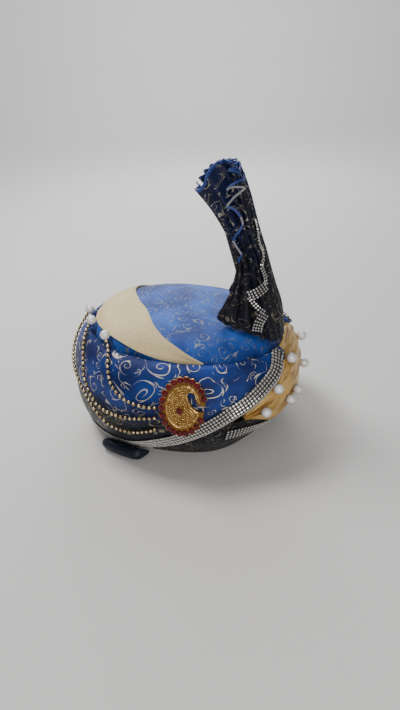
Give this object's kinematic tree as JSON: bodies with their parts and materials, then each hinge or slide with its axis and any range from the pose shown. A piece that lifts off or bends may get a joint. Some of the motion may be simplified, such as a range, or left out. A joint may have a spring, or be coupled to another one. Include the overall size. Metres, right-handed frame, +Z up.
{
  "type": "bridal kulla cap",
  "caption": "Ready-tied wedding turban cap: brocade wound round a stiff cap, gathered silk over the forehead, a fan plume, studded ribbons, pearls, bead chains and a paisley brooch.",
  "frame": {"origin": "on the surface that the cap rests on, below the middle of its box", "axes": "+Z up; the forehead faces -Y; the wearer's right side, with the brooch and the chains, is -X"},
  "size_m": [0.2488, 0.2826, 0.3136],
  "materials": {
    "blue_brocade": "satin jacquard in royal blue with silver scrolls",
    "navy_brocade": "dark navy jacquard with grey-gold scrolls",
    "navy_satin": "smooth dark satin",
    "studded_ribbon": "black tape set with rows of bright silver studs",
    "gold_silk": "soft gathered silk with a satin sheen",
    "cream_cloth": "plain cream cloth with a faint glitter",
    "brass_beads": "polished round beads",
    "pearl": "pearl lustre",
    "brooch_gold": "polished gilt metal set with dark red stones"
  },
  "bodies": {
    "root": {"bead_chain_lower": "brass_beads", "bead_chain_middle": "brass_beads", "bead_chain_upper": "brass_beads", "crown_sash": "cream_cloth", "drape_pearl_left_1": "pearl", "drape_pearl_left_2": "pearl", "drape_pearl_left_3": "pearl", "drape_pearl_left_4": "pearl", "drape_pearl_right_1": "pearl", "drape_pearl_right_2": "pearl", "drape_pearl_right_3": "pearl", "edge_ribbon": "studded_ribbon", "fan_plume": "navy_brocade", "forehead_band": "navy_brocade", "front_drape": "gold_silk", "front_ribbon": "studded_ribbon", "inner_cap": "blue_brocade", "paisley_brooch": "brooch_gold", "pearl_lower_chain": "pearl", "pearl_middle_chain": "pearl", "pearl_upper_chain": "pearl", "side_wrap": "blue_brocade", "tail_roll": "navy_satin"}
  },
  "joints": []
}
